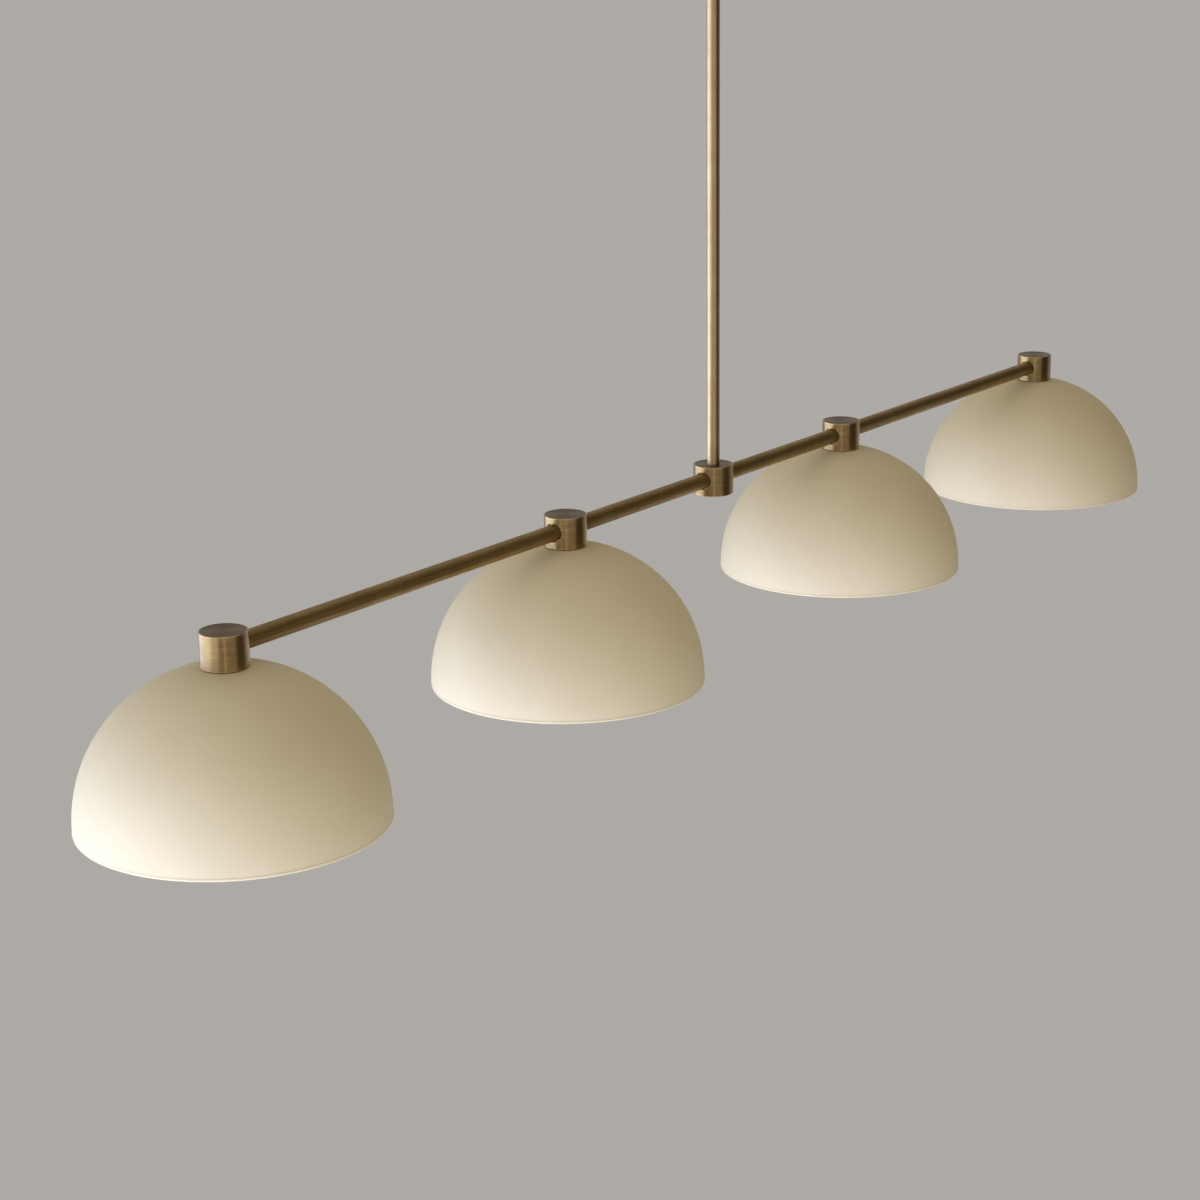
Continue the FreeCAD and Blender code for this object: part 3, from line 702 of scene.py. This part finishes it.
zinc = skinned("zinc_plate", (0.62, 0.62, 0.60, 1), (0.46, 0.47, 0.49, 1), METAL, 0.34)
black_steel = skinned("black_oxide", (0.05, 0.05, 0.055, 1), (0.025, 0.025, 0.03, 1), METAL, 0.42)
clean_brass = skinned("clean_brass", (0.72, 0.58, 0.30, 1), (0.6, 0.46, 0.22, 1), METAL, 0.28)
fibre = skinned("black_fibre", (0.035, 0.032, 0.03, 1), (0.02, 0.018, 0.017, 1), NO_METAL, 0.8,
                cloud=600.0, grain=4800.0)
plastic = skinned("terminal_plastic", (0.84, 0.83, 0.79, 1), (0.78, 0.77, 0.72, 1), NO_METAL, 0.45,
                  cloud=90.0, grain=700.0)
ceramic = skinned("white_ceramic", (0.90, 0.89, 0.86, 1), (0.84, 0.82, 0.78, 1), NO_METAL, 0.5,
                  cloud=220.0, grain=1800.0, depth=0.00004)
wire = skinned("nickel_wire", (0.66, 0.64, 0.60, 1), (0.52, 0.50, 0.47, 1), METAL, 0.3,
               cloud=500.0, grain=4000.0)
frost = skinned("frosted_glass", (0.95, 0.94, 0.90, 1), (0.90, 0.89, 0.85, 1), NO_METAL, 0.42,
                cloud=300.0, grain=2400.0)
frosted = frost.node_tree.nodes["Principled BSDF"]
frosted.inputs["Transmission Weight"].default_value = 0.55
frosted.inputs["IOR"].default_value = 1.45
print("fittings' finishes:", [m.name for m in (zinc, black_steel, clean_brass, fibre)])
print("and:", [m.name for m in (plastic, ceramic, wire, frost)])

# %% [markdown]
# ## Bands turned about an axis
# The shades and the bulbs are turned shapes. A lathe profile spun by a modifier
# would do, but a rule is easier to change: every such skin is a row of bands, and
# each band is an arc or a straight line turned about the upright axis. A band
# starts as a flat grid. One side of the grid becomes the way round, and the other
# becomes the way along the arc or the line.

# %% Bands turned about the axis
weld_distance = 0.00001


def band_group(name, extra):
    """Starts a band's tree, with the turn round the axis and the share along the band."""
    inputs = [("Around", INT, 96), ("Steps", INT, 2)] + [(label, FLOAT, 0.0) for label in extra]
    tree, given, out = new_group(name, "GeometryNodeTree", inputs, [("Geometry", GEOMETRY)])
    sides = math_node(tree, "ADD", given["Around"], 1.0)
    rows = math_node(tree, "ADD", given["Steps"], 1.0)
    grid = add(tree, "GeometryNodeMeshGrid", {"Size X": 1.0, "Size Y": 1.0,
                                              "Vertices X": sides, "Vertices Y": rows})
    parts = split(tree, add(tree, "GeometryNodeInputPosition").outputs[0])
    turn = math_node(tree, "MULTIPLY", math_node(tree, "ADD", parts["X"], 0.5), math.tau)
    share = math_node(tree, "ADD", parts["Y"], 0.5)
    return tree, given, out, grid, turn, share


def moved_to(tree, geometry, place):
    """The geometry with its points at place."""
    inputs = {"Geometry": geometry, "Position": place}
    return add(tree, "GeometryNodeSetPosition", inputs).outputs[0]


def close_band(tree, out, grid, turn, radius, height):
    """Puts the grid's points at a radius and a height on each bearing."""
    x = math_node(tree, "MULTIPLY", radius, math_node(tree, "COSINE", turn))
    y = math_node(tree, "MULTIPLY", radius, math_node(tree, "SINE", turn))
    place = joined_vector(tree, x, y, height)
    tree.links.new(moved_to(tree, grid.outputs["Mesh"], place), out["Geometry"])


def between(tree, start, end, share):
    """start + (end - start) * share"""
    return math_node(tree, "MULTIPLY_ADD", math_node(tree, "SUBTRACT", end, start), share, start)


def from_centre(tree, centre, length, operation, angle):
    """centre + length * the sine or cosine of angle"""
    ratio = math_node(tree, operation, angle)
    return math_node(tree, "MULTIPLY_ADD", length, ratio, centre)


arc_band, given, out, grid, turn, share = band_group(
    "Turned arc", ["Ring radius", "Arc radius", "Height", "From angle", "To angle"])
angle = between(arc_band, given["From angle"], given["To angle"], share)
radius = from_centre(arc_band, given["Ring radius"], given["Arc radius"], "COSINE", angle)
height = from_centre(arc_band, given["Height"], given["Arc radius"], "SINE", angle)
close_band(arc_band, out, grid, turn, radius, height)

line_band, given, out, grid, turn, share = band_group(
    "Turned line", ["From radius", "From height", "To radius", "To height"])
radius = between(line_band, given["From radius"], given["To radius"], share)
height = between(line_band, given["From height"], given["To height"], share)
close_band(line_band, out, grid, turn, radius, height)


def arc(tree, around, ring, radius, height, start, end, steps):
    """An arc turned about the axis. The angles run anticlockwise from straight out."""
    inputs = {"Ring radius": ring, "Arc radius": radius, "Height": height,
              "From angle": start, "To angle": end, "Steps": steps, "Around": around}
    return add(tree, "GeometryNodeGroup", inputs, node_tree=arc_band).outputs[0]


def line(tree, around, r0, z0, r1, z1, steps):
    """A straight line turned about the axis."""
    inputs = {"From radius": r0, "From height": z0, "To radius": r1, "To height": z1,
              "Steps": steps, "Around": around}
    return add(tree, "GeometryNodeGroup", inputs, node_tree=line_band).outputs[0]


def weld(tree, bands):
    """Joins bands whose edges meet into one skin."""
    joined = add(tree, "GeometryNodeJoinGeometry")
    for band in bands:
        tree.links.new(band, joined.inputs[0])
    inputs = {"Geometry": joined.outputs[0], "Distance": weld_distance}
    return add(tree, "GeometryNodeMergeByDistance", inputs).outputs[0]


def smoothed(tree, geometry):
    return add(tree, "GeometryNodeSetShadeSmooth", {0: geometry}).outputs[0]


def finish_tree(tree, out, geometry, place, material):
    """Every tree ends alike: put in place, made real, given its material."""
    moved = add(tree, "GeometryNodeTransform", {"Geometry": geometry, "Translation": place})
    real = add(tree, "GeometryNodeRealizeInstances", {0: moved.outputs[0]}).outputs[0]
    made = add(tree, "GeometryNodeSetMaterial", {0: real, "Material": material}).outputs[0]
    tree.links.new(made, out["Geometry"])


print("bands:", arc_band.name, "and", line_band.name)

# %% [markdown]
# ## The shade
# Each shade is spun from one sheet of metal: a flat seat under the knuckle, the
# outside of a sphere, a small rolled lip, the inside of a smaller sphere and the
# underside of the seat. The radii follow from the wall's thickness, so the shape
# follows a rule, and Geometry Nodes suit it. The shade joins nine bands.

# %% The shade's tree
dome_steps, inside_steps, lip_steps, edge_steps = 72, 60, 8, 6

shade_tree, given, out = new_group(
    "Spun shade", "GeometryNodeTree",
    [("Geometry", GEOMETRY, None), ("Outer radius", FLOAT, 0.1), ("Wall", FLOAT, 0.0012),
     ("Seat radius", FLOAT, 0.015), ("Hole radius", FLOAT, 0.0053),
     ("Lip height", FLOAT, 0.0015), ("Lip bulge", FLOAT, 0.0002),
     ("Straight above lip", FLOAT, 0.0007), ("Around", INT, 192),
     ("Place", VECTOR, None), ("Paint", MATERIAL, None)],
    [("Geometry", GEOMETRY)])
t = shade_tree
outer, wall = given["Outer radius"], given["Wall"]
seat, hole = given["Seat radius"], given["Hole radius"]
lip, bulge, around = given["Lip height"], given["Lip bulge"], given["Around"]


def squared(tree, value):
    return math_node(tree, "MULTIPLY", value, value)


def other_side(tree, long_side, short_side):
    """The third side of a right-angled triangle."""
    rest = math_node(tree, "SUBTRACT", squared(tree, long_side), squared(tree, short_side))
    return math_node(tree, "SQRT", rest)


# The seat and its underside
inner = math_node(t, "SUBTRACT", outer, wall)
seat_height = other_side(t, outer, seat)
under_height = math_node(t, "SUBTRACT", seat_height, wall)
under_radius = other_side(t, inner, under_height)
seat_angle = math_node(t, "ARCTAN2", seat_height, seat)
under_angle = math_node(t, "ARCTAN2", under_height, under_radius)

# The lip is an arc through its two ends that stands out by the bulge.
half_lip = math_node(t, "MULTIPLY", lip, 0.5)
bulge_sum = math_node(t, "MULTIPLY_ADD", half_lip, half_lip, squared(t, bulge))
lip_arc = math_node(t, "DIVIDE", bulge_sum, math_node(t, "MULTIPLY", bulge, 2.0))
lip_ring = math_node(t, "SUBTRACT", math_node(t, "ADD", outer, bulge), lip_arc)
lip_angle = math_node(t, "ARCSINE", math_node(t, "DIVIDE", half_lip, lip_arc))
other_lip_angle = math_node(t, "MULTIPLY", lip_angle, -1.0)
lip_top = math_node(t, "MULTIPLY", given["Straight above lip"], -1.0)
lip_middle = math_node(t, "SUBTRACT", lip_top, half_lip)
lip_end = math_node(t, "SUBTRACT", lip_top, lip)

# The sheet's edge is a half round.
edge_ring = math_node(t, "MULTIPLY_ADD", wall, -0.5, outer)
edge_arc = math_node(t, "MULTIPLY", wall, 0.5)

bands = [
    line(t, around, hole, seat_height, seat, seat_height, 3),
    arc(t, around, 0.0, outer, 0.0, seat_angle, 0.0, dome_steps),
    line(t, around, outer, 0.0, outer, lip_top, 1),
    arc(t, around, lip_ring, lip_arc, lip_middle, lip_angle, other_lip_angle, lip_steps),
    arc(t, around, edge_ring, edge_arc, lip_end, 0.0, -math.pi, edge_steps),
    line(t, around, inner, lip_end, inner, 0.0, 2),
    arc(t, around, 0.0, inner, 0.0, 0.0, under_angle, inside_steps),
    line(t, around, under_radius, under_height, hole, under_height, 3),
    line(t, around, hole, under_height, hole, seat_height, 1),
]
turned_out = add(t, "GeometryNodeFlipFaces", {0: weld(t, bands)}).outputs[0]
finish_tree(t, out, smoothed(t, turned_out), given["Place"], given["Paint"])
print("shade bands:", len(bands))

# %% [markdown]
# ## Four shades from one tree
# The real shades are the same pressing. Each one here is the same tree, run with
# its own place and turned into a plain mesh, because each rides on its own body.
# The dome's radius comes from the solid's box, less the lip that stands proud.

# %% Grow the shades
solid_lip_bulge, seat_radius = 0.0005, 0.015


def grown(name, tree, values):
    """Runs a Geometry Nodes tree and returns the result as a plain mesh object."""
    seed = bpy.data.objects.new(name + "_seed", bpy.data.meshes.new(name + "_seed"))
    bpy.context.collection.objects.link(seed)
    modifier = seed.modifiers.new(tree.name, "NODES")
    modifier.node_group = tree
    sockets = {item.name: item.identifier
               for item in tree.interface.items_tree if item.in_out == "INPUT"}
    for label, value in values.items():
        modifier[sockets[label]] = value
    ready = seed.evaluated_get(bpy.context.evaluated_depsgraph_get())
    mesh = bpy.data.meshes.new_from_object(ready)
    bpy.data.objects.remove(seed)
    mesh.name = name
    piece = bpy.data.objects.new(name, mesh)
    bpy.context.collection.objects.link(piece)
    return piece


for number, x in lamps.items():
    low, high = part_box(f"shade_{number}")
    radius = (high.x - low.x) / 2 - solid_lip_bulge
    centre_z = high.z - math.sqrt(radius ** 2 - seat_radius ** 2)
    dome = grown(f"dome_{number}", shade_tree,
                 {"Outer radius": radius, "Place": (x, 0, centre_z), "Paint": ivory})
    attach(dome, f"head_{number}")
    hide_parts(f"shade_{number}")
    print(dome.name, len(dome.data.vertices), "points, radius", round(radius, 5))

# %% [markdown]
# ## The bulb's glass
# Each bulb is a frosted capsule whose neck was pressed flat while it was hot. The
# capsule is turned like the shade, and then every point near the neck is squeezed
# towards the middle by a smooth ramp, which is what the press does.

# %% The capsule's tree
glass_length = 0.042
press_start, press_end = -0.012, -0.0035    # heights, measured from the neck

glass_tree, given, out = new_group(
    "Frosted capsule", "GeometryNodeTree",
    [("Geometry", GEOMETRY, None), ("Radius", FLOAT, 0.008), ("Length", FLOAT, glass_length),
     ("Shoulder", FLOAT, 0.002), ("Neck", FLOAT, 0.56), ("Around", INT, 64),
     ("Place", VECTOR, None), ("Glass", MATERIAL, None)],
    [("Geometry", GEOMETRY)])
t = glass_tree
radius, shoulder, around = given["Radius"], given["Shoulder"], given["Around"]
tip = math_node(t, "SUBTRACT", radius, given["Length"])
flat_radius = math_node(t, "SUBTRACT", radius, shoulder)
shoulder_z = math_node(t, "MULTIPLY", shoulder, -1.0)
skin = weld(t, [
    arc(t, around, 0.0, radius, tip, -math.pi / 2, 0.0, 24),
    line(t, around, radius, tip, radius, shoulder_z, 36),
    arc(t, around, flat_radius, shoulder, shoulder_z, 0.0, math.pi / 2, 8),
    line(t, around, flat_radius, 0.0, 0.0, 0.0, 3),
])
parts = split(t, add(t, "GeometryNodeInputPosition").outputs[0])
squeeze = map_range(t, parts["Z"], press_start, press_end, low=1.0, high=given["Neck"],
                    interpolation_type="SMOOTHSTEP")
pressed_y = math_node(t, "MULTIPLY", parts["Y"], squeeze)
skin = moved_to(t, skin, joined_vector(t, parts["X"], pressed_y, parts["Z"]))
finish_tree(t, out, smoothed(t, skin), given["Place"], given["Glass"])
print("tree:", glass_tree.name)

# %% [markdown]
# ## The bulb's foot
# The ceramic foot is a small block with ribs round it. It starts as a drum one
# metre in radius and is pushed out to a rounded block by the rule of a
# superellipse, in which a higher power makes squarer corners. A cosine of the
# height then draws in the grooves. The middle point has no bearing, so the two
# divisors have a floor, without which that point would be lost.

# %% The foot's tree
foot_height = 0.010
least_reach, least_sum = 0.0001, 0.001
groove_share = 0.75                         # the cosine above which a groove is cut

foot_tree, given, out = new_group(
    "Ribbed foot", "GeometryNodeTree",
    [("Geometry", GEOMETRY, None), ("Width", FLOAT, 0.014), ("Depth", FLOAT, 0.008),
     ("Height", FLOAT, foot_height), ("Rib spacing", FLOAT, 0.0025), ("Rib depth", FLOAT, 0.05),
     ("Squareness", FLOAT, 7.0), ("Place", VECTOR, None), ("Ceramic", MATERIAL, None)],
    [("Geometry", GEOMETRY)])
t = foot_tree
drum = weld(t, [
    line(t, 96, 0.0, 0.0, 1.0, 0.0, 4),
    line(t, 96, 1.0, 0.0, 1.0, given["Height"], 48),
    line(t, 96, 1.0, given["Height"], 0.0, given["Height"], 4),
])
parts = split(t, add(t, "GeometryNodeInputPosition").outputs[0])
reach = vector_length(t, joined_vector(t, parts["X"], parts["Y"]))
reach = math_node(t, "MAXIMUM", reach, least_reach)


def powered(part):
    """A coordinate's share of the reach, raised to the squareness."""
    share = math_node(t, "ABSOLUTE", math_node(t, "DIVIDE", part, reach))
    return math_node(t, "POWER", share, given["Squareness"])


def squared_off(part, stretch, size):
    """A coordinate stretched and brought to half the block's size."""
    half = math_node(t, "MULTIPLY", size, 0.5)
    return math_node(t, "MULTIPLY", math_node(t, "MULTIPLY", part, stretch), half)


both = math_node(t, "ADD", powered(parts["X"]), powered(parts["Y"]))
both = math_node(t, "MAXIMUM", both, least_sum)
stretch = math_node(t, "POWER", both, math_node(t, "DIVIDE", -1.0, given["Squareness"]))
ribs = math_node(t, "DIVIDE", parts["Z"], given["Rib spacing"])
wave = math_node(t, "COSINE", math_node(t, "MULTIPLY", ribs, math.tau))
in_groove = math_node(t, "GREATER_THAN", wave, groove_share)
groove = math_node(t, "MULTIPLY", in_groove, given["Rib depth"])
stretch = math_node(t, "MULTIPLY", stretch, math_node(t, "SUBTRACT", 1.0, groove))
x = squared_off(parts["X"], stretch, given["Width"])
y = squared_off(parts["Y"], stretch, given["Depth"])
block = moved_to(t, drum, joined_vector(t, x, y, parts["Z"]))
finish_tree(t, out, block, given["Place"], given["Ceramic"])
print("tree:", foot_tree.name)

# %% [markdown]
# ## The bulb's pins
# Two wire pins stand on the foot and push into the holder. The tree turns one pin
# with a round end and sets it on two points, so the spacing is one value.

# %% The pins' tree
pin_length = 0.009

pins_tree, given, out = new_group(
    "Contact pins", "GeometryNodeTree",
    [("Geometry", GEOMETRY, None), ("Radius", FLOAT, 0.0006), ("Length", FLOAT, pin_length),
     ("Spacing", FLOAT, 0.009), ("Place", VECTOR, None), ("Wire", MATERIAL, None)],
    [("Geometry", GEOMETRY)])
t = pins_tree
radius = given["Radius"]
straight = math_node(t, "SUBTRACT", given["Length"], radius)
pin = smoothed(t, weld(t, [
    line(t, 24, 0.0, 0.0, radius, 0.0, 1),
    line(t, 24, radius, 0.0, radius, straight, 6),
    arc(t, 24, 0.0, radius, straight, 0.0, math.pi / 2, 6),
]))
start = joined_vector(t, math_node(t, "MULTIPLY", given["Spacing"], -0.5), 0.0)
step = joined_vector(t, given["Spacing"], 0.0)
points = add(t, "GeometryNodeMeshLine", {"Count": 2, "Start Location": start, "Offset": step},
             mode="OFFSET").outputs[0]
pins = add(t, "GeometryNodeInstanceOnPoints", {"Points": points, "Instance": pin}).outputs[0]
finish_tree(t, out, pins, given["Place"], given["Wire"])
print("tree:", pins_tree.name)

# %% [markdown]
# ## Four bulbs
# A bulb comes out of its holder as one thing, so its three pieces ride on the same
# body. The glass takes the solid's place, and the foot and the pins are fitted
# above its neck, where the holder hides most of them.

# %% Grow the bulbs
for number, x in lamps.items():
    low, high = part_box(f"bulb_{number}")
    neck_z = low.z + glass_length
    foot_top = neck_z + foot_height
    neck, top = (x, 0, neck_z), (x, 0, foot_top)
    glass = grown(f"bulb_glass_{number}", glass_tree, {"Place": neck, "Glass": frost})
    foot = grown(f"bulb_foot_{number}", foot_tree, {"Place": neck, "Ceramic": ceramic})
    pins = grown(f"bulb_pins_{number}", pins_tree, {"Place": top, "Wire": wire})
    for piece, slot in ((glass, "frosted_glass"), (foot, "white_ceramic"), (pins, "zinc_steel")):
        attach(piece, f"plug_in_bulb_{number}")
    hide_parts(f"bulb_{number}")
    print("bulb", number, "pins end at", round(foot_top + pin_length, 4),
          "node's top", round(high.z, 4))

# %% [markdown]
# ## Dress the rest
# Tubes, screws, washers and the turned brass have their full shape in the solids
# already, down to the broken edges. They only need their finishes.

# %% Dress the CAD pieces
def dress(material, *names):
    """Gives CAD pieces their finish."""
    for name in names:
        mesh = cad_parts[name].data
        mesh.materials.clear()
        mesh.materials.append(material)


dress(bar_brass, "bar_left", "bar_right")
dress(rod_brass, "drop_rod")
dress(middle_brass, "hub", "hub_plug")
dress(canopy_brass, "canopy", "canopy_collar")
dress(black_steel, "hub_grub_screws", "collar_grub_screw")
dress(zinc, "ceiling_plate", "swivel_bracket", "plate_screws")
dress(zinc, "swivel_spindle", "swivel_nut", "rod_jam_nut")
dress(clean_brass, "terminal_screws", "swivel_upper_washer", "swivel_lower_washer")
dress(plastic, "terminal_block")
for number in lamps:
    dress(knuckle_brass[number], f"knuckle_{number}", f"lamp_cup_{number}")
    dress(black_steel, f"knuckle_grub_screw_{number}")
    dress(fibre, f"crown_washer_{number}")
    dress(zinc, f"shade_washer_{number}", f"shade_nut_{number}", f"nipple_{number}")
    dress(ceramic, f"lamp_holder_{number}")
print("dressed:", len(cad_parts), "CAD pieces")
